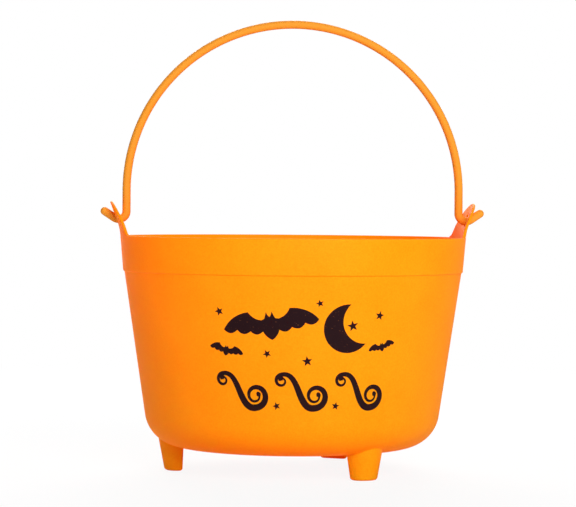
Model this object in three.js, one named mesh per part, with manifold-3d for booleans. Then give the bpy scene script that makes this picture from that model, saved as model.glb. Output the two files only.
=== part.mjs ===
import * as THREE from "three";
import { mergeVertices } from "three/addons/utils/BufferGeometryUtils.js";
import Module from "manifold-3d";

// A witch cauldron pail for sweets, in two pieces: a thin plastic moulding with a band below
// its rim, three hollow feet and two ears, and a round plastic bail whose hooked ends swing
// in the holes of the ears. Millimetres, +Z up. The origin is on the table under the middle
// of the pail, the ears lie along X and the front of the pail faces -Y.

const degree = Math.PI / 180;

// The pail
const rimRadius = 100; // outside of the rim
const rimHeight = 135; // top of the rim above the table
const wall = 1.6; // one thickness all through the moulding
const lipRadius = 0.5; // both edges of the rim are rounded
const bandHeight = 20.6; // plain band that stiffens the rim
const bandDraft = 4.9 * degree;
const bandStep = 0.75; // the band stands this proud of the wall
const wallDraft = 8.5 * degree;
const cornerRadius = 21; // round corner between wall and bottom
const bottomHeight = 14; // table to the flat bottom

// The feet
const footCount = 3;
const footTurn = 2.8 * degree; // the ring of feet is turned this far from the line of the ears
const footInnerRadius = 64; // the flat inner faces stand this far from the axis
const footDepth = 9.8; // across the foot at the sole, towards the axis
const footWidth = 16.4; // along the rim at the sole
const footDraft = 11 * degree; // the outer face
const footSideDraft = 9.5 * degree;
const footInnerDraft = 1.5 * degree;
const footCorner = 1.6; // upright edges beside the flat inner face
const soleRounding = 1.5;

// The ears
const earHeight = 19.8; // above the rim
const earWidth = 44; // each ear is half an ellipse standing on the rim
const earThickness = 1.5;
const earFlareWidth = 53; // over the concave flares where they run out into the rim
const earFlareHeight = 6;
const earRoot = 4; // the ear is joined to the band this far down
const earLean = 20.5 * degree; // outwards from upright, above the bend
const earBendHeight = 8; // the ear leaves the slope of the band in a bend this high
const holeRise = 10.2; // middle of the hole above the rim

// The bail
const rodDiameter = 4.75;
const holePlay = 3.4; // the hole is this much wider than the rod, for the slanting hook
const legGap = 2.1; // from the legs to the inside of the ears, at the height of the holes
const legLength = 12.1; // straight stretch between the arch and the hook
const hookRadius = 4.5; // of the rod's centreline
const hookTurn = 124 * degree; // from straight down to outwards and up
const hookArm = 6.7; // straight end of the hook, without its round tip
const tipRounding = 77 * degree; // round ends with a small flat, where the moulding was cut off
const hookSag = 0.7; // lowest point of the centreline below the middle of the hole

// Facets
const ringFacets = 96;
const cornerFacets = 7;
const edgeFacets = 3;
const footFacets = 12;
const footCornerFacets = 2;
const bendFacets = 4;
const outlineFacets = 18;
const holeFacets = 32;
const rodFacets = 12;
const archFacets = 44;
const hookFacets = 8;
const tipFacets = 3;

const wasm = await Module();
wasm.setup();

function solidOf(geometry) {
  const bare = geometry.clone();
  bare.deleteAttribute("normal");
  bare.deleteAttribute("uv");
  const merged = mergeVertices(bare, 1e-4);
  return new wasm.Manifold(
    new wasm.Mesh({
      numProp: 3,
      vertProperties: new Float32Array(merged.attributes.position.array),
      triVerts: new Uint32Array(merged.index.array),
    }),
  );
}

function geometryOf(solid) {
  const { vertProperties, triVerts } = solid.getMesh();
  const geometry = new THREE.BufferGeometry();
  geometry.setAttribute("position", new THREE.BufferAttribute(vertProperties, 3));
  geometry.setIndex(new THREE.BufferAttribute(triVerts, 1));
  const facets = geometry.toNonIndexed();
  facets.computeVertexNormals();
  return facets;
}

// A profile of [radius, height] points turned once round the Z axis.
function turned(profile) {
  const points = profile.map(([radius, height]) => new THREE.Vector2(radius, height));
  return new THREE.LatheGeometry(points, ringFacets).rotateX(Math.PI / 2);
}

// A closed skin over a row of rings that have the same number of points.
function lofted(rings) {
  const count = rings[0].length;
  const lastRing = (rings.length - 1) * count;
  const faces = [];
  for (let ring = 0; ring < lastRing; ring += count) {
    for (let i = 0; i < count; i++) {
      const next = (i + 1) % count;
      faces.push(ring + i, ring + next, ring + count + next);
      faces.push(ring + i, ring + count + next, ring + count + i);
    }
  }
  for (let i = 1; i + 1 < count; i++) {
    faces.push(0, i + 1, i);
    faces.push(lastRing, lastRing + i, lastRing + i + 1);
  }
  const geometry = new THREE.BufferGeometry();
  geometry.setAttribute(
    "position",
    new THREE.Float32BufferAttribute(rings.flat().flatMap((p) => p.toArray()), 3),
  );
  geometry.setIndex(faces);
  return geometry;
}

// Points of an arc in a plane, both ends included.
function arc(centreX, centreY, radius, from, to, steps) {
  return Array.from({ length: steps + 1 }, (_, i) => {
    const angle = from + ((to - from) * i) / steps;
    return [centreX + radius * Math.cos(angle), centreY + radius * Math.sin(angle)];
  });
}

// Pail: the outline from the middle of the bottom to the rim, drawn in by the wall's thickness
// for the hollow inside.
const stepHeight = rimHeight - bandHeight;
const bandFootRadius = rimRadius - bandHeight * Math.tan(bandDraft);
const wallTopRadius = bandFootRadius - bandStep;
const cornerHeight = bottomHeight + cornerRadius;
const cornerCentre =
  wallTopRadius -
  (cornerRadius + (stepHeight - cornerHeight) * Math.sin(wallDraft)) / Math.cos(wallDraft);

function pailProfile(inset) {
  const onWall = (height) =>
    wallTopRadius -
    (stepHeight - height) * Math.tan(wallDraft) -
    inset / Math.cos(wallDraft);
  const onBand = (height) =>
    rimRadius - (rimHeight - height) * Math.tan(bandDraft) - inset / Math.cos(bandDraft);
  const ledge = stepHeight + inset;
  return [
    [0, bottomHeight + inset],
    ...arc(
      cornerCentre,
      cornerHeight,
      cornerRadius - inset,
      -Math.PI / 2,
      -wallDraft,
      cornerFacets,
    ),
    [onWall(ledge), ledge],
    [onBand(ledge + bandStep), ledge + bandStep],
    [onBand(rimHeight - lipRadius), rimHeight - lipRadius],
  ];
}

function outerForm() {
  const profile = pailProfile(0);
  const [edge, height] = profile.pop();
  profile.push(...arc(edge - lipRadius, height, lipRadius, 0, Math.PI / 2, edgeFacets));
  profile.push([0, rimHeight]);
  return solidOf(turned(profile));
}

function hollow() {
  const profile = pailProfile(wall);
  const [edge, height] = profile.pop();
  profile.push(...arc(edge + lipRadius, height, lipRadius, Math.PI, Math.PI / 2, edgeFacets));
  profile.push([edge + lipRadius, rimHeight + lipRadius]);
  profile.push([0, rimHeight + lipRadius]);
  return solidOf(turned(profile));
}

// Feet: half ellipses on a flat inner face, wider towards the pail. Each is hollow and opens
// into the pail, as the core of the mould leaves it.
function footRing(height, inset, turn) {
  const flat = footInnerRadius - height * Math.tan(footInnerDraft) + inset;
  const nose = footInnerRadius + footDepth + height * Math.tan(footDraft) - inset;
  const half = footWidth / 2 + height * Math.tan(footSideDraft) - inset;
  const middle = flat + footCorner;
  const side = half - footCorner;
  const steps = footCornerFacets;
  const points = arc(middle, side, footCorner, Math.PI, Math.PI / 2, steps);
  for (let i = 1; i < footFacets; i++) {
    const angle = (Math.PI * i) / footFacets;
    points.push([middle + (nose - middle) * Math.sin(angle), half * Math.cos(angle)]);
  }
  points.push(...arc(middle, -side, footCorner, -Math.PI / 2, -Math.PI, steps));
  const up = new THREE.Vector3(0, 0, 1);
  return points
    .map(([x, y]) => new THREE.Vector3(x, y, height).applyAxisAngle(up, turn))
    .reverse();
}

function foot(turn, inset) {
  const rings = [];
  for (const [x, y] of arc(0, 0, soleRounding, -Math.PI / 2, 0, edgeFacets)) {
    rings.push(footRing(inset + soleRounding + y, inset + soleRounding - x, turn));
  }
  rings.push(footRing(cornerHeight, inset, turn));
  return solidOf(lofted(rings));
}

// Ears: a leaning ring cut to the outline of the ears. It carries on the rim's own curve.
const cutReach = rimRadius + earFlareWidth / 2; // the cuts run out past both ears
const earBendRadius = earBendHeight / (Math.sin(earLean) - Math.sin(bandDraft));

// Radius and lean of the ear's middle surface at a height above the rim.
function earCurve(rise) {
  const foot = rimRadius - wall / 2;
  const bent = Math.min(Math.max(rise, 0), earBendHeight);
  const lean = Math.asin(Math.sin(bandDraft) + bent / earBendRadius);
  const inBend = earBendRadius * (Math.cos(bandDraft) - Math.cos(lean));
  const radius = foot + inBend + (rise - bent) * Math.tan(lean);
  return { radius, lean };
}

function earRing() {
  const rises = [-earRoot];
  for (let i = 0; i <= bendFacets; i++) rises.push((earBendHeight * i) / bendFacets);
  rises.push(earHeight + earThickness);
  const side = (sign) =>
    rises.map((rise) => {
      const { radius, lean } = earCurve(rise);
      const offset = (sign * earThickness) / 2;
      return [
        radius + offset * Math.cos(lean),
        rimHeight + rise - offset * Math.sin(lean),
      ];
    });
  const outer = side(1);
  const inner = side(-1).reverse();
  return solidOf(turned([...outer, ...inner, outer[0]]));
}

// Seen along X: half an ellipse whose sides run out into the rim in concave flares. A flare
// starts level on the rim and meets the ellipse along its tangent.
function earOutline() {
  const half = earWidth / 2;
  const base = earFlareWidth / 2;
  const flareAngle = Math.asin(earFlareHeight / earHeight);
  const flareTop = half * Math.cos(flareAngle);
  const tangentFoot = half / Math.cos(flareAngle);
  const outline = new THREE.Shape();
  outline.moveTo(-base, -earRoot);
  outline.lineTo(base, -earRoot);
  outline.lineTo(base, 0);
  outline.quadraticCurveTo(tangentFoot, 0, flareTop, earFlareHeight);
  outline.absellipse(0, 0, half, earHeight, flareAngle, Math.PI - flareAngle, false, 0);
  outline.quadraticCurveTo(-tangentFoot, 0, -base, 0);
  outline.closePath();
  const prism = new THREE.ExtrudeGeometry(outline, {
    depth: 2 * cutReach,
    bevelEnabled: false,
    curveSegments: outlineFacets,
  });
  const alongX = new THREE.Matrix4().makeBasis(
    new THREE.Vector3(0, 1, 0),
    new THREE.Vector3(0, 0, 1),
    new THREE.Vector3(1, 0, 0),
  );
  prism.translate(0, rimHeight, -cutReach).applyMatrix4(alongX);
  return solidOf(prism);
}

function earHoles() {
  const radius = (rodDiameter + holePlay) / 2;
  const drill = new THREE.CylinderGeometry(radius, radius, 2 * cutReach, holeFacets);
  drill.rotateZ(Math.PI / 2).translate(0, 0, rimHeight + holeRise);
  return solidOf(drill);
}

function pailBody() {
  let body = outerForm();
  let inside = hollow();
  for (let i = 0; i < footCount; i++) {
    const turn = Math.PI + footTurn + (2 * Math.PI * i) / footCount;
    body = body.add(foot(turn, 0));
    inside = inside.add(foot(turn, wall));
  }
  const ears = earRing().intersect(earOutline()).subtract(earHoles());
  return geometryOf(body.subtract(inside).add(ears));
}

// Bail: a round rod in one plane, drawn about the line through the two holes. Its stations run
// from the crown of the arch down one leg and round the hook to the tip.
const earAtHole = earCurve(holeRise);
const earInside = earAtHole.radius - earThickness / 2 / Math.cos(earAtHole.lean);
const bailHalfSpan = earInside - legGap - rodDiameter / 2;

function bailStations() {
  const hookHeight = hookRadius - hookSag;
  const archHeight = hookHeight + legLength;
  const stations = [];
  for (let i = 0; i <= archFacets / 2; i++) {
    const angle = Math.PI / 2 - (Math.PI * i) / archFacets;
    stations.push({
      x: bailHalfSpan * Math.cos(angle),
      z: archHeight + bailHalfSpan * Math.sin(angle),
      heading: angle - Math.PI / 2,
      radius: rodDiameter / 2,
    });
  }
  for (let i = 0; i <= hookFacets; i++) {
    const angle = (hookTurn * i) / hookFacets;
    stations.push({
      x: bailHalfSpan + hookRadius * (1 - Math.cos(angle)),
      z: hookHeight - hookRadius * Math.sin(angle),
      heading: angle - Math.PI / 2,
      radius: rodDiameter / 2,
    });
  }
  const bend = stations[stations.length - 1];
  for (let i = 0; i <= tipFacets; i++) {
    const angle = (tipRounding * i) / tipFacets;
    const along = hookArm + (rodDiameter / 2) * Math.sin(angle);
    stations.push({
      x: bend.x + along * Math.cos(bend.heading),
      z: bend.z + along * Math.sin(bend.heading),
      heading: bend.heading,
      radius: (rodDiameter / 2) * Math.cos(angle),
    });
  }
  return stations;
}

function rodRing({ x, z, heading, radius }) {
  return Array.from({ length: rodFacets }, (_, i) => {
    const angle = (-2 * Math.PI * i) / rodFacets;
    const across = radius * Math.cos(angle);
    return new THREE.Vector3(
      x - across * Math.sin(heading),
      radius * Math.sin(angle),
      z + across * Math.cos(heading),
    );
  });
}

function bailRod() {
  const right = bailStations();
  const left = right
    .slice(1)
    .map((s) => ({ ...s, x: -s.x, heading: -s.heading }))
    .reverse();
  return lofted([...left, ...right].map(rodRing));
}

const group = new THREE.Group();

const pail = new THREE.Mesh(
  pailBody(),
  new THREE.MeshStandardMaterial({ color: 0xee8a10, roughness: 0.45, metalness: 0 }),
);
pail.name = "pail_body";
group.add(pail);

const bailHinge = new THREE.Group();
bailHinge.position.set(0, 0, rimHeight + holeRise);
const bail = new THREE.Mesh(
  geometryOf(solidOf(bailRod())),
  new THREE.MeshStandardMaterial({ color: 0xf89a20, roughness: 0.35, metalness: 0 }),
);
bail.name = "bail_handle";
bailHinge.add(bail);
group.add(bailHinge);

export default group;
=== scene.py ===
import math

import bmesh
import bpy
from mathutils import Matrix, Vector


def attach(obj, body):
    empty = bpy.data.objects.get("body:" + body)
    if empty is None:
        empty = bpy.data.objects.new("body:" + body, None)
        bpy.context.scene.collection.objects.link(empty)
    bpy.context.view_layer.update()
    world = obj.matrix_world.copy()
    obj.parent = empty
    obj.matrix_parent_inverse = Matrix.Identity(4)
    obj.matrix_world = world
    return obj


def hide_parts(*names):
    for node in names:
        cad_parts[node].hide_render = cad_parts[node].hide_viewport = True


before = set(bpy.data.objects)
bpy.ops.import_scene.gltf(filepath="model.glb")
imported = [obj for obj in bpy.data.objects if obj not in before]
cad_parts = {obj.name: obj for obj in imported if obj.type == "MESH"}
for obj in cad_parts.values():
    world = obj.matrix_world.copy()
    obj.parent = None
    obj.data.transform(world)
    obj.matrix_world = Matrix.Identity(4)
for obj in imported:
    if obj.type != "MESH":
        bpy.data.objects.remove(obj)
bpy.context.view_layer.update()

# The pail, with its band, feet and ears, is one moulding in orange plastic. Its round part is
# a thin wall, which steps out into a plain band below the rounded rim and meets the bottom in
# a wide round corner.
mm = 0.001
degree = math.pi / 180
rim_radius = 100 * mm
rim_height = 135 * mm
wall = 1.6 * mm
lip_radius = 0.5 * mm
band_height = 20.6 * mm
band_draft = 4.9 * degree
band_step = 0.75 * mm
wall_draft = 8.5 * degree
corner_radius = 21 * mm
bottom_height = 14 * mm
turn_facets = 288
corner_facets = 26
lip_facets = 5

step_height = rim_height - band_height
band_foot_radius = rim_radius - band_height * math.tan(band_draft)
wall_top_radius = band_foot_radius - band_step
corner_height = bottom_height + corner_radius
wall_fall = (step_height - corner_height) * math.sin(wall_draft)
corner_centre = wall_top_radius - (corner_radius + wall_fall) / math.cos(wall_draft)


def wall_radius(height, inset=0.0):
    """The radius of the wall's outer face at a height, or of a face inset from it."""
    fall = (step_height - height) * math.tan(wall_draft)
    return wall_top_radius - fall - inset / math.cos(wall_draft)


def band_radius(height, inset=0.0):
    """The radius of the band's outer face at a height, or of a face inset from it."""
    fall = (rim_height - height) * math.tan(band_draft)
    return rim_radius - fall - inset / math.cos(band_draft)


def arc(x, y, radius, start, end, steps):
    """Points on an arc round x, y, with both ends."""
    angles = [start + (end - start) * i / steps for i in range(steps + 1)]
    return [(x + radius * math.cos(angle), y + radius * math.sin(angle)) for angle in angles]


def side_of_wall(inset):
    """One side of the section, from the middle of the bottom up to the rounding of the rim."""
    ledge = step_height + inset
    corner = arc(corner_centre, corner_height, corner_radius - inset, -math.pi / 2,
                 -wall_draft, corner_facets)
    band = [(wall_radius(ledge, inset), ledge),
            (band_radius(ledge + band_step, inset), ledge + band_step)]
    return [(0, bottom_height + inset)] + corner + band


def lathe(section, facets):
    """Turns a section that starts and ends on the axis, or closes on itself, round Z."""
    form = bmesh.new()
    rings = []
    for radius, height in section:
        count = facets if radius > 0 else 1
        turns = [2 * math.pi * i / count for i in range(count)]
        rings.append([form.verts.new((radius * math.cos(t), radius * math.sin(t), height))
                      for t in turns])
    for low, high in zip(rings, rings[1:]):
        for i in range(facets):
            corners = [low[i % len(low)], low[(i + 1) % len(low)],
                       high[(i + 1) % len(high)], high[i % len(high)]]
            without_doubles = list(dict.fromkeys(corners))
            form.faces.new(without_doubles)
    return form


def piece_from(form, name):
    """A new object from a finished bmesh, with its faces pointing out."""
    bmesh.ops.recalc_face_normals(form, faces=form.faces)
    mesh = bpy.data.meshes.new(name)
    form.to_mesh(mesh)
    form.free()
    piece = bpy.data.objects.new(name, mesh)
    bpy.context.scene.collection.objects.link(piece)
    return piece


rim_edge = rim_height - lip_radius
outer_lip = arc(band_radius(rim_edge) - lip_radius, rim_edge, lip_radius, 0, math.pi / 2,
                lip_facets)
inner_lip = arc(band_radius(rim_edge, wall) + lip_radius, rim_edge, lip_radius, math.pi,
                math.pi / 2, lip_facets)
over_rim = rim_height + lip_radius
solid_section = side_of_wall(0) + outer_lip + [(0, rim_height)]
hollow_section = side_of_wall(wall) + inner_lip + [(inner_lip[-1][0], over_rim), (0, over_rim)]
pail = piece_from(lathe(solid_section, turn_facets), "pail_moulding")

# The three feet are moulded on, each a half ellipse with a flat inner face, wider towards the
# pail. They are hollow and open into it, because the core of the mould reaches into them.
foot_count = 3
foot_turn = 2.8 * degree
foot_inner_radius = 64 * mm
foot_depth = 9.8 * mm
foot_width = 16.4 * mm
foot_draft = 11 * degree
foot_side_draft = 9.5 * degree
foot_inner_draft = 1.5 * degree
foot_corner = 1.6 * mm
sole_rounding = 1.5 * mm
foot_facets = 40
edge_facets = 6


def foot_ring(height, inset, turn):
    """The outline of a foot at a height: a flat inner side and half an ellipse outside."""
    flat = foot_inner_radius - height * math.tan(foot_inner_draft) + inset
    nose = foot_inner_radius + foot_depth + height * math.tan(foot_draft) - inset
    half = foot_width / 2 + height * math.tan(foot_side_draft) - inset
    middle = flat + foot_corner
    side = half - foot_corner
    outline = arc(middle, side, foot_corner, math.pi, math.pi / 2, edge_facets)
    for i in range(1, foot_facets):
        angle = math.pi * i / foot_facets
        outline.append((middle + (nose - middle) * math.sin(angle), half * math.cos(angle)))
    outline += arc(middle, -side, foot_corner, -math.pi / 2, -math.pi, edge_facets)
    place = Matrix.Rotation(turn, 3, "Z")
    return [place @ Vector((x, y, height)) for x, y in outline]


def loft(rings):
    """A closed skin over a row of rings with as many points each."""
    form = bmesh.new()
    rows = [[form.verts.new(point) for point in ring] for ring in rings]
    for low, high in zip(rows, rows[1:]):
        for i in range(len(low)):
            after = (i + 1) % len(low)
            form.faces.new((low[i], low[after], high[after], high[i]))
    form.faces.new(rows[0])
    form.faces.new(rows[-1])
    return form


def foot(turn, inset):
    """A foot with a rounded sole that reaches up into the pail, or the core inset in it."""
    rounding = arc(0, 0, sole_rounding, -math.pi / 2, 0, edge_facets)
    rings = [foot_ring(inset + sole_rounding + y, inset + sole_rounding - x, turn)
             for x, y in rounding]
    rings.append(foot_ring(corner_height, inset, turn))
    return piece_from(loft(rings), "foot_form")


def combine(body, tool, operation):
    """Joins the tool to the body, or cuts it out, and deletes the tool."""
    step = body.modifiers.new("combine", "BOOLEAN")
    step.operation = operation
    step.solver = "EXACT"
    step.object = tool
    view = bpy.context.evaluated_depsgraph_get()
    mesh = bpy.data.meshes.new_from_object(body.evaluated_get(view))
    body.modifiers.clear()
    body.data = mesh
    bpy.data.objects.remove(tool)


foot_turns = [math.pi + foot_turn + 2 * math.pi * i / foot_count for i in range(foot_count)]
for turn in foot_turns:
    combine(pail, foot(turn, 0), "UNION")
combine(pail, piece_from(lathe(hollow_section, turn_facets), "hollow_form"), "DIFFERENCE")
for turn in foot_turns:
    combine(pail, foot(turn, wall), "DIFFERENCE")

# The two ears stand on the rim and lean outwards. Each is half an ellipse with concave flares
# at its foot and a round hole for the hook of the bail. Its edges are rounded in the mould.
ear_height = 19.8 * mm
ear_width = 44 * mm
ear_thickness = 1.5 * mm
ear_flare_width = 53 * mm
ear_flare_height = 6 * mm
ear_root = 4 * mm
ear_lean = 20.5 * degree
ear_bend_height = 8 * mm
hole_rise = 10.2 * mm
rod_diameter = 4.75 * mm
hole_play = 3.4 * mm
hole_edge = 0.3 * mm
crown_steps = 60
flare_steps = 24
root_steps = 4
under_steps = 24
face_steps = 8
flare_sweep = 25 * degree
root_sweep = 7 * degree
crease = 34 * degree

ear_bend_radius = ear_bend_height / (math.sin(ear_lean) - math.sin(band_draft))


def ear_point(across, rise, offset, side):
    """A point of the ear from its place across and up the ear and its offset outwards."""
    bent = min(max(rise, 0), ear_bend_height)
    lean = math.asin(math.sin(band_draft) + bent / ear_bend_radius)
    in_bend = ear_bend_radius * (math.cos(band_draft) - math.cos(lean))
    radius = rim_radius - wall / 2 + in_bend + (rise - bent) * math.tan(lean)
    turn = math.asin(across / radius)
    flat = radius + offset * math.cos(lean)
    return Vector((side * flat * math.cos(turn), flat * math.sin(turn),
                   rim_height + rise - offset * math.sin(lean)))


def ear_outline():
    """Half of the outline, from the middle of the top to the middle of the root, with the
    angle round the hole that each point is joined to."""
    half = ear_width / 2
    base = ear_flare_width / 2
    flare_angle = math.asin(ear_flare_height / ear_height)
    flare_top = half * math.cos(flare_angle)
    tangent_foot = half / math.cos(flare_angle)
    points = []
    for i in range(crown_steps):
        share = i / crown_steps
        angle = math.pi / 2 + (flare_angle - math.pi / 2) * share
        points.append((half * math.cos(angle), ear_height * math.sin(angle),
                       math.pi / 2 * (1 - share)))
    for i in range(flare_steps):
        t = i / flare_steps
        across = (1 - t) ** 2 * flare_top + 2 * t * (1 - t) * tangent_foot + t * t * base
        points.append((across, (1 - t) ** 2 * ear_flare_height, -flare_sweep * t))
    for i in range(root_steps):
        share = i / root_steps
        points.append((base, -ear_root * share, -flare_sweep - root_sweep * share))
    corner = flare_sweep + root_sweep
    for i in range(under_steps + 1):
        share = i / under_steps
        points.append((base * (1 - share), -ear_root, -corner - (math.pi / 2 - corner) * share))
    return points


def ear(side):
    """An ear with its hole. A section across its thickness runs from the hole's rounded edge
    out to the rounded outer edge and back, and is carried round the outline."""
    half = ear_outline()
    loop = half + [(-x, y, math.pi - angle) for x, y, angle in half[-2:0:-1]]
    hole_radius = (rod_diameter + hole_play) / 2
    thick = ear_thickness / 2
    shares = [i / face_steps for i in range(1, face_steps)]
    section = [(0, hole_edge - x, y) for x, y in
               arc(0, thick - hole_edge, hole_edge, 0, math.pi / 2, edge_facets)]
    section += [(share, 0, thick) for share in shares]
    section += [(1, x - thick, y) for x, y in
                arc(0, 0, thick, math.pi / 2, -math.pi / 2, 2 * edge_facets)]
    section += [(share, 0, -thick) for share in shares[::-1]]
    section += [(0, hole_edge - x, y) for x, y in
                arc(0, hole_edge - thick, hole_edge, -math.pi / 2, 0, edge_facets)]
    form = bmesh.new()
    rows = []
    for across, rise, angle in loop:
        start = Vector((hole_radius * math.cos(angle),
                        hole_rise + hole_radius * math.sin(angle)))
        way = Vector((across, rise)) - start
        row = []
        for share, shift, offset in section:
            point = start + way * share + way.normalized() * shift
            row.append(form.verts.new(ear_point(point.x, point.y, offset, side)))
        rows.append(row)
    for row, after in zip(rows, rows[1:] + rows[:1]):
        for i in range(len(section)):
            j = (i + 1) % len(section)
            form.faces.new((row[i], row[j], after[j], after[i]))
    return piece_from(form, "ear_form")


for side in (1, -1):
    combine(pail, ear(side), "UNION")
pail.data.polygons.foreach_set("use_smooth", [True] * len(pail.data.polygons))
pail.data.set_sharp_from_angle(angle=crease)

# The whole moulding is one textured orange plastic, which lets some light through.


def moulded_skin():
    """The skin of a textured mould: a fine grain, as a height and a mask, and the slow
    clouds that coloured plastic keeps from its flow into the mould."""
    grain_detail = 3
    cloud_detail = 4
    cloud_roughness = 0.6
    group = bpy.data.node_groups.new("moulded_skin", "ShaderNodeTree")
    group.interface.new_socket("Grains per metre", in_out="INPUT",
                               socket_type="NodeSocketFloat")
    group.interface.new_socket("Clouds per metre", in_out="INPUT",
                               socket_type="NodeSocketFloat")
    group.interface.new_socket("Grain", in_out="OUTPUT", socket_type="NodeSocketFloat")
    group.interface.new_socket("Clouds", in_out="OUTPUT", socket_type="NodeSocketFloat")
    nodes = group.nodes
    given = nodes.new("NodeGroupInput")
    made = nodes.new("NodeGroupOutput")
    place = nodes.new("ShaderNodeTexCoord")
    grain = nodes.new("ShaderNodeTexNoise")
    grain.inputs["Detail"].default_value = grain_detail
    clouds = nodes.new("ShaderNodeTexNoise")
    clouds.inputs["Detail"].default_value = cloud_detail
    clouds.inputs["Roughness"].default_value = cloud_roughness
    group.links.new(place.outputs["Object"], grain.inputs["Vector"])
    group.links.new(place.outputs["Object"], clouds.inputs["Vector"])
    group.links.new(given.outputs["Grains per metre"], grain.inputs["Scale"])
    group.links.new(given.outputs["Clouds per metre"], clouds.inputs["Scale"])
    group.links.new(grain.outputs["Fac"], made.inputs["Grain"])
    group.links.new(clouds.outputs["Fac"], made.inputs["Clouds"])
    return group


skin_group = moulded_skin()
clouds_per_metre = 38
# The grain's share in the colour: the pits of the grain are painted deep, as painted shade in
# the pits.
painted_pit_shade_share = 0.7
deep_end = 0.35
pale_start = 0.65
roughness_spread = 0.05
plastic_shine = 0.08
colour_through = (1.0, 0.08, 0.003)


def plastic(name, deep, pale, roughness, grains_per_metre, grain_height, light_through):
    """Coloured plastic that may let light through. Its clouds mix a deep and a pale colour,
    and the pits of its grain take the deep colour as painted shade. Its grains roughen it,
    and light that has passed through it is redder."""
    material = bpy.data.materials.new(name)
    material.use_nodes = True
    nodes = material.node_tree.nodes
    links = material.node_tree.links
    shader = nodes["Principled BSDF"]
    shader.inputs["Specular IOR Level"].default_value = plastic_shine
    skin = nodes.new("ShaderNodeGroup")
    skin.node_tree = skin_group
    skin.inputs["Grains per metre"].default_value = grains_per_metre
    skin.inputs["Clouds per metre"].default_value = clouds_per_metre
    colour = nodes.new("ShaderNodeValToRGB")
    colour.color_ramp.elements[0].position = deep_end
    colour.color_ramp.elements[0].color = (*deep, 1)
    colour.color_ramp.elements[1].position = pale_start
    colour.color_ramp.elements[1].color = (*pale, 1)
    gloss = nodes.new("ShaderNodeMapRange")
    gloss.inputs["To Min"].default_value = roughness - roughness_spread
    gloss.inputs["To Max"].default_value = roughness + roughness_spread
    bump = nodes.new("ShaderNodeBump")
    bump.inputs["Strength"].default_value = 1
    bump.inputs["Distance"].default_value = grain_height
    # Mixing the grain into the colour paints its pits in the deep colour: painted shade.
    blend = nodes.new("ShaderNodeMix")
    blend.inputs["Factor"].default_value = painted_pit_shade_share
    through = nodes.new("ShaderNodeBsdfTranslucent")
    through.inputs["Color"].default_value = (*colour_through, 1)
    mix = nodes.new("ShaderNodeMixShader")
    mix.inputs["Fac"].default_value = light_through
    links.new(skin.outputs["Clouds"], blend.inputs["A"])
    links.new(skin.outputs["Grain"], blend.inputs["B"])
    links.new(blend.outputs["Result"], colour.inputs["Fac"])
    links.new(colour.outputs["Color"], shader.inputs["Base Color"])
    links.new(skin.outputs["Grain"], gloss.inputs["Value"])
    links.new(gloss.outputs["Result"], shader.inputs["Roughness"])
    links.new(skin.outputs["Grain"], bump.inputs["Height"])
    links.new(bump.outputs["Normal"], shader.inputs["Normal"])
    links.new(shader.outputs["BSDF"], mix.inputs[1])
    links.new(through.outputs["BSDF"], mix.inputs[2])
    links.new(mix.outputs["Shader"], nodes["Material Output"].inputs["Surface"])
    return material


pail.data.materials.clear()
pail.data.materials.append(plastic("textured_orange", deep=(0.900, 0.550, 0.004),
                                   pale=(0.950, 0.660, 0.010), roughness=0.55,
                                   grains_per_metre=1000, grain_height=0.08 * mm,
                                   light_through=0.5))
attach(pail, "pail")
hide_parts("pail_body")

# The decoration is one pass of black ink, printed on the front of the wall before the bail
# goes on: bats, a crescent moon, stars and curled scrolls. Each is a thin raised film with
# a few pinholes.
print_turn = -91.2 * degree
print_height = 71.3 * mm
print_half_width = 55 * mm
ink_thickness = 0.06 * mm
ink_strip = 2.5 * mm
weld_distance = 0.01 * mm
bow_steps = 8
ink_colour = (0.0160, 0.0045, 0.0060)
pinhole_colour = (0.30, 0.10, 0.02)
pinhole_edge = 0.69
pinhole_middle = 0.74
ink_grains_per_metre = 1500
ink_roughness = 0.6
ink_shine = 0.06


def bowed(start, end, bow):
    """Points from start to just before end on a shallow arc, bowed to the left of its way."""
    start, end = Vector(start), Vector(end)
    way = end - start
    left = Vector((-way.y, way.x))
    shares = [i / bow_steps for i in range(bow_steps)]
    return [start + way * t + left * (4 * bow * t * (1 - t)) for t in shares]


def outline_of(corners):
    """A closed outline from corners that each hold a point and the bow to the next one."""
    points = []
    for (start, bow), (end, _) in zip(corners, corners[1:] + corners[:1]):
        points += bowed(start, end, bow)
    return points


def bat(x, y, half_span, tilt):
    """The outline of a bat with spread wings. The right half is given as shares of half the
    span, and the left half mirrors it."""
    right = [((0.00, 0.13), -0.10), ((0.055, 0.25), 0.0), ((0.11, 0.10), 0.0),
             ((0.18, 0.08), -0.12), ((0.43, 0.28), 0.12), ((1.00, -0.03), 0.26),
             ((0.71, -0.07), 0.26), ((0.43, -0.13), 0.26), ((0.17, -0.16), 0.10)]
    tail = [((0.00, -0.36), 0.0)]
    points = outline_of(right + tail)[:len(right) * bow_steps + 1]
    mirrored = [Vector((-p.x, p.y)) for p in points[-2:0:-1]]
    turn = Matrix.Rotation(tilt, 2)
    return [Vector((x, y)) + turn @ (p * half_span) for p in points + mirrored]


def crescent(x, y, radius, tilt):
    """The outline of a crescent moon between two arcs that meet in its tips."""
    tips = 62 * degree
    inner_shift = 0.32
    outer_steps = 40
    inner_steps = 32
    outer = arc(0, 0, radius, tips, 2 * math.pi - tips, outer_steps)
    tip = Vector(outer[0])
    centre = tip.x + inner_shift * radius
    reach = math.hypot(tip.y, tip.x - centre)
    inner_tips = math.atan2(tip.y, tip.x - centre)
    inner = arc(centre, 0, reach, -inner_tips, inner_tips - 2 * math.pi, inner_steps)[1:-1]
    turn = Matrix.Rotation(tilt, 2)
    return [Vector((x, y)) + turn @ Vector(p) for p in outer + inner]


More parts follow.
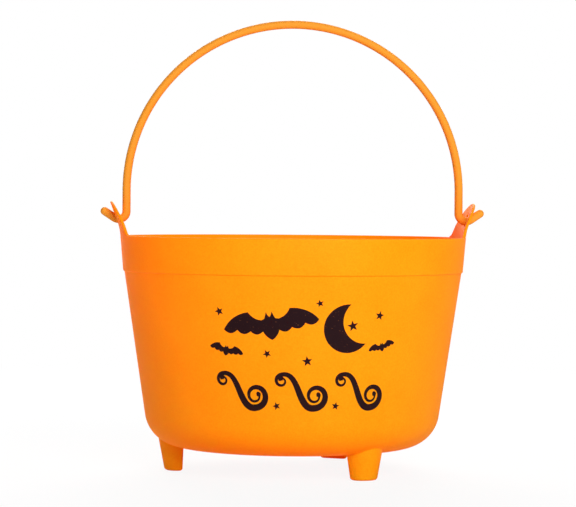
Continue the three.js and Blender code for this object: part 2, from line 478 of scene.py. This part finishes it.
def star(x, y, radius, tilt):
    """The outline of a star with five tips."""
    tips = 5
    waist = 0.42
    points = []
    for i in range(2 * tips):
        reach = radius if i % 2 == 0 else radius * waist
        angle = tilt + math.pi / 2 + math.pi * i / tips
        points.append(Vector((x + reach * math.cos(angle), y + reach * math.sin(angle))))
    return points


def curl(x, y, radius, turns, opening):
    """A spiral from its open end inwards, anticlockwise from the angle of its opening."""
    steps_per_turn = 30
    closing = 0.78
    steps = int(steps_per_turn * turns)
    points = []
    for i in range(steps + 1):
        share = i / steps
        angle = opening + 2 * math.pi * turns * share
        reach = radius * (1 - closing * share)
        points.append(Vector((x + reach * math.cos(angle), y + reach * math.sin(angle))))
    return points


def stem(start, leave, end, arrive, steps):
    """Points between start and end, on a curve that leaves and arrives at given speeds."""
    points = []
    for i in range(1, steps):
        t = i / steps
        points.append(start * (2 * t ** 3 - 3 * t * t + 1) + leave * (t ** 3 - 2 * t * t + t)
                      + end * (3 * t * t - 2 * t ** 3) + arrive * (t ** 3 - t * t))
    return points


def scroll(x, widest):
    """Two curls joined by a smooth stem, drawn with a pen that swells in the middle and
    ends in round balls. Returns the points on the two sides of the stroke."""
    stem_steps = 30
    stem_pull = 1.2
    ball_radius = 0.36 * widest
    thinnest = 0.13
    swell = 0.37
    swell_power = 1.5
    start = curl(x - 11 * mm, -14 * mm, radius=3.6 * mm, turns=1.25, opening=90 * degree)[::-1]
    end = curl(x + 8 * mm, -22.5 * mm, radius=6.6 * mm, turns=1.45, opening=270 * degree)
    gap = (end[0] - start[-1]).length
    leave = (start[-1] - start[-2]).normalized() * gap * stem_pull
    arrive = (end[1] - end[0]).normalized() * gap * stem_pull
    middle = start + stem(start[-1], leave, end[0], arrive, stem_steps) + end
    along = [0.0]
    for point, after in zip(middle, middle[1:]):
        along.append(along[-1] + (after - point).length)
    left, right = [], []
    for i, point in enumerate(middle):
        share = along[i] / along[-1]
        half = widest * (thinnest + swell * math.sin(math.pi * share) ** swell_power)
        from_end = min(along[i], along[-1] - along[i])
        if from_end < 2 * ball_radius:
            in_ball = max(0, ball_radius ** 2 - (ball_radius - from_end) ** 2)
            half = max(half * min(1, from_end / ball_radius), math.sqrt(in_ball))
        way = middle[min(i + 1, len(middle) - 1)] - middle[max(i - 1, 0)]
        across = Vector((-way.y, way.x)).normalized() * half
        left.append(point + across)
        right.append(point - across)
    return left, right


def on_wall(point):
    """Wraps a point of the flat artwork, with its layer as z, onto the slanting wall."""
    height = print_height + point.y * math.cos(wall_draft)
    turn = print_turn + point.x / wall_radius(print_height)
    radius = wall_radius(height) + (point.z * 2 - 1) * ink_thickness
    return Vector((radius * math.cos(turn), radius * math.sin(turn), height))


shapes = [
    bat(-17 * mm, 18 * mm, 26 * mm, 7 * degree),
    bat(-42 * mm, 3 * mm, 10 * mm, -12 * degree),
    bat(46 * mm, 5 * mm, 8.5 * mm, 14 * degree),
    crescent(25 * mm, 15 * mm, 13.5 * mm, 24 * degree),
    star(27.5 * mm, 16.5 * mm, 3.2 * mm, 12 * degree),
    star(43 * mm, 22 * mm, 2.8 * mm, -10 * degree),
    star(-45 * mm, 24 * mm, 2.6 * mm, 20 * degree),
    star(-19 * mm, 1 * mm, 2.4 * mm, 30 * degree),
    star(3 * mm, -3 * mm, 3.0 * mm, 8 * degree),
    star(9 * mm, 29 * mm, 2.2 * mm, 16 * degree),
    star(-14 * mm, -28 * mm, 2.4 * mm, 20 * degree),
    star(20 * mm, -28 * mm, 2.4 * mm, -8 * degree),
]
strokes = [scroll(x, widest=3.8 * mm) for x in (-34 * mm, 0, 34 * mm)]

# The artwork is drawn flat, cut into strips that follow the curve of the wall, and raised.
form = bmesh.new()
for shape in shapes:
    form.faces.new([form.verts.new((p.x, p.y, 0)) for p in shape])
for left, right in strokes:
    rows = [[form.verts.new((p.x, p.y, 0)) for p in pair] for pair in zip(left, right)]
    for row, after in zip(rows, rows[1:]):
        form.faces.new((row[0], row[1], after[1], after[0]))
bmesh.ops.remove_doubles(form, verts=form.verts, dist=weld_distance)
bmesh.ops.triangulate(form, faces=form.faces, ngon_method="EAR_CLIP")
strips = round(print_half_width / ink_strip)
for i in range(-strips, strips + 1):
    everything = form.verts[:] + form.edges[:] + form.faces[:]
    bmesh.ops.bisect_plane(form, geom=everything, plane_co=(i * ink_strip, 0, 0),
                           plane_no=(1, 0, 0))
raised = bmesh.ops.extrude_face_region(form, geom=form.faces[:], use_keep_orig=True)
for vertex in raised["geom"]:
    if isinstance(vertex, bmesh.types.BMVert):
        vertex.co.z = 1
for vertex in form.verts:
    vertex.co = on_wall(vertex.co)
front_print = piece_from(form, "front_print")

ink = bpy.data.materials.new("black_ink")
ink.use_nodes = True
shader = ink.node_tree.nodes["Principled BSDF"]
skin = ink.node_tree.nodes.new("ShaderNodeGroup")
skin.node_tree = skin_group
skin.inputs["Grains per metre"].default_value = ink_grains_per_metre
pinholes = ink.node_tree.nodes.new("ShaderNodeValToRGB")
pinholes.color_ramp.elements[0].position = pinhole_edge
pinholes.color_ramp.elements[0].color = (*ink_colour, 1)
pinholes.color_ramp.elements[1].position = pinhole_middle
pinholes.color_ramp.elements[1].color = (*pinhole_colour, 1)
ink.node_tree.links.new(skin.outputs["Grain"], pinholes.inputs["Fac"])
ink.node_tree.links.new(pinholes.outputs["Color"], shader.inputs["Base Color"])
shader.inputs["Roughness"].default_value = ink_roughness
shader.inputs["Specular IOR Level"].default_value = ink_shine
front_print.data.materials.append(ink)
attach(front_print, "pail")

# The bail is a round rod, moulded in its arch in a slightly lighter orange. Its straight legs
# end in hooks, which are sprung outwards through the holes of the ears.
leg_gap = 2.1 * mm
leg_length = 12.1 * mm
hook_radius = 4.5 * mm
hook_turn = 124 * degree
hook_arm = 6.68 * mm
hook_sag = 0.7 * mm
rod_facets = 32
arch_facets = 240
hook_facets = 36
tip_facets = 8
tip_flat = 0.4

ear_inside = ear_point(0, hole_rise, 0, 1).x - ear_thickness / 2 / math.cos(ear_lean)
rod_radius = rod_diameter / 2
half_span = ear_inside - leg_gap - rod_radius
hook_height = hook_radius - hook_sag
arch_height = hook_height + leg_length


def rod_ring(x, height, heading, radius):
    """A ring of the rod: its place in the plane of the bail, its heading and its radius."""
    ring = []
    for i in range(rod_facets):
        angle = 2 * math.pi * i / rod_facets
        across = radius * math.cos(angle)
        ring.append(Vector((x - across * math.sin(heading), radius * math.sin(angle),
                            rim_height + hole_rise + height + across * math.cos(heading))))
    return ring


# The right half of the rod, from the crown of the arch to the rounded tip of the hook.
stations = []
for i in range(arch_facets // 2 + 1):
    angle = math.pi / 2 - math.pi * i / arch_facets
    stations.append((half_span * math.cos(angle), arch_height + half_span * math.sin(angle),
                     angle - math.pi / 2, rod_radius))
for i in range(hook_facets + 1):
    angle = hook_turn * i / hook_facets
    stations.append((half_span + hook_radius * (1 - math.cos(angle)),
                     hook_height - hook_radius * math.sin(angle), angle - math.pi / 2,
                     rod_radius))
bend_x, bend_height, heading, _ = stations[-1]
for i in range(tip_facets + 1):
    angle = math.pi / 2 * i / (tip_facets + tip_flat)
    along = hook_arm + rod_radius * math.sin(angle)
    stations.append((bend_x + along * math.cos(heading),
                     bend_height + along * math.sin(heading), heading,
                     rod_radius * math.cos(angle)))
left_side = [(-x, z, -turn, radius) for x, z, turn, radius in stations[:0:-1]]
bail = piece_from(loft([rod_ring(*station) for station in left_side + stations]), "bail_rod")
bail.data.polygons.foreach_set("use_smooth", [True] * len(bail.data.polygons))
bail.data.set_sharp_from_angle(angle=crease)
bail.data.materials.append(plastic("smooth_orange", deep=(0.800, 0.290, 0.022),
                                   pale=(0.830, 0.302, 0.028), roughness=0.58,
                                   grains_per_metre=900, grain_height=0.003 * mm,
                                   light_through=0.0))
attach(bail, "bail")
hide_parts("bail_handle")

# The floor is a plain pale sheet of paper under the pail. It looks white to the camera, and
# close to the pail it keeps the shadow.
floor_reach = 12
sheet_grey = (0.72, 0.72, 0.72)
sheet_roughness = 0.9
sheet_shine = 0.1
shadow_end = 0.15
white_start = 0.9
white_near_pail = 0.9

floor_form = bmesh.new()
bmesh.ops.create_grid(floor_form, x_segments=1, y_segments=1, size=floor_reach)
floor = piece_from(floor_form, "floor")


def seen_directly(tree):
    """Nodes that give 1 for a ray from the camera, from a mirror or through glass, else 0."""
    path = tree.nodes.new("ShaderNodeLightPath")
    direct = path.outputs["Is Camera Ray"]
    for kind in ("Is Glossy Ray", "Is Transmission Ray"):
        either = tree.nodes.new("ShaderNodeMath")
        either.operation = "MAXIMUM"
        tree.links.new(direct, either.inputs[0])
        tree.links.new(path.outputs[kind], either.inputs[1])
        direct = either.outputs["Value"]
    return direct


sheet = bpy.data.materials.new("pale_sheet")
sheet.use_nodes = True
nodes = sheet.node_tree.nodes
links = sheet.node_tree.links
shader = nodes["Principled BSDF"]
shader.inputs["Base Color"].default_value = (*sheet_grey, 1)
shader.inputs["Roughness"].default_value = sheet_roughness
shader.inputs["Specular IOR Level"].default_value = sheet_shine
white = nodes.new("ShaderNodeEmission")
place = nodes.new("ShaderNodeTexCoord")
distance = nodes.new("ShaderNodeVectorMath")
distance.operation = "LENGTH"
fade = nodes.new("ShaderNodeMapRange")
fade.inputs["From Min"].default_value = shadow_end
fade.inputs["From Max"].default_value = white_start
fade.inputs["To Min"].default_value = white_near_pail
fade.inputs["To Max"].default_value = 1.0
seen = nodes.new("ShaderNodeMath")
seen.operation = "MULTIPLY"
mix = nodes.new("ShaderNodeMixShader")
links.new(place.outputs["Object"], distance.inputs[0])
links.new(distance.outputs["Value"], fade.inputs["Value"])
links.new(seen_directly(sheet.node_tree), seen.inputs[0])
links.new(fade.outputs["Result"], seen.inputs[1])
links.new(seen.outputs["Value"], mix.inputs["Fac"])
links.new(shader.outputs["BSDF"], mix.inputs[1])
links.new(white.outputs["Emission"], mix.inputs[2])
links.new(mix.outputs["Shader"], nodes["Material Output"].inputs["Surface"])
floor.data.materials.append(sheet)

# The air of the studio is white to the camera and gives the pail a little light from all
# sides, so that no shadow is black.
air_light = 0.09

world = bpy.data.worlds.new("studio_air")
bpy.context.scene.world = world
world.use_nodes = True
background = world.node_tree.nodes["Background"]
background.inputs["Color"].default_value = (1, 1, 1, 1)
level = world.node_tree.nodes.new("ShaderNodeMapRange")
level.inputs["To Min"].default_value = air_light
level.inputs["To Max"].default_value = 1.0
world.node_tree.links.new(seen_directly(world.node_tree), level.inputs["Value"])
world.node_tree.links.new(level.outputs["Result"], background.inputs["Strength"])

# Three soft square lamps light the pail: one from the front, a little to the right, and two
# from behind, whose light comes through the thin plastic.
lamp_target = Vector((0, 0, 110 * mm))


def lamp(name, azimuth, elevation, distance, size, power):
    """A soft square lamp that looks at the pail. Azimuth 0 is the front, +X at 90."""
    direction = Vector((math.sin(azimuth) * math.cos(elevation),
                        -math.cos(azimuth) * math.cos(elevation), math.sin(elevation)))
    light = bpy.data.lights.new(name, "AREA")
    light.size = size
    light.energy = power
    holder = bpy.data.objects.new(name, light)
    holder.matrix_world = (Matrix.Translation(lamp_target + direction * distance)
                           @ direction.to_track_quat("Z", "Y").to_matrix().to_4x4())
    holder.visible_camera = False
    bpy.context.scene.collection.objects.link(holder)


lamp("key_lamp", 13 * degree, 23 * degree, distance=2.2, size=1.2, power=48)
lamp("back_lamp", 178 * degree, 35 * degree, distance=2.2, size=1.8, power=58)
lamp("low_lamp", 180 * degree, 12 * degree, distance=2.5, size=2.5, power=60)

# The camera stands in front of the pail, a little to the left and just above the rim, 1.4 m
# away with a long lens.
camera_distance = 1392 * mm
camera_height = 151.6 * mm
camera_turn = 4.5 * degree
camera_heading = -4.38 * degree
camera_pitch = 1.089 * degree
camera_roll = 0.43 * degree
lens_in_mm = 150
sensor_in_mm = 36
camera_reach = 100

camera_data = bpy.data.cameras.new("camera")
camera_data.lens = lens_in_mm
camera_data.sensor_width = sensor_in_mm
camera_data.clip_end = camera_reach
camera = bpy.data.objects.new("camera", camera_data)
camera.matrix_world = (Matrix.Translation((-camera_distance * math.sin(camera_turn),
                                           -camera_distance * math.cos(camera_turn),
                                           camera_height))
                       @ Matrix.Rotation(camera_heading, 4, "Z")
                       @ Matrix.Rotation(math.pi / 2 - camera_pitch, 4, "X")
                       @ Matrix.Rotation(camera_roll, 4, "Z"))
bpy.context.scene.collection.objects.link(camera)
bpy.context.scene.camera = camera
bpy.context.scene.view_settings.view_transform = "Standard"
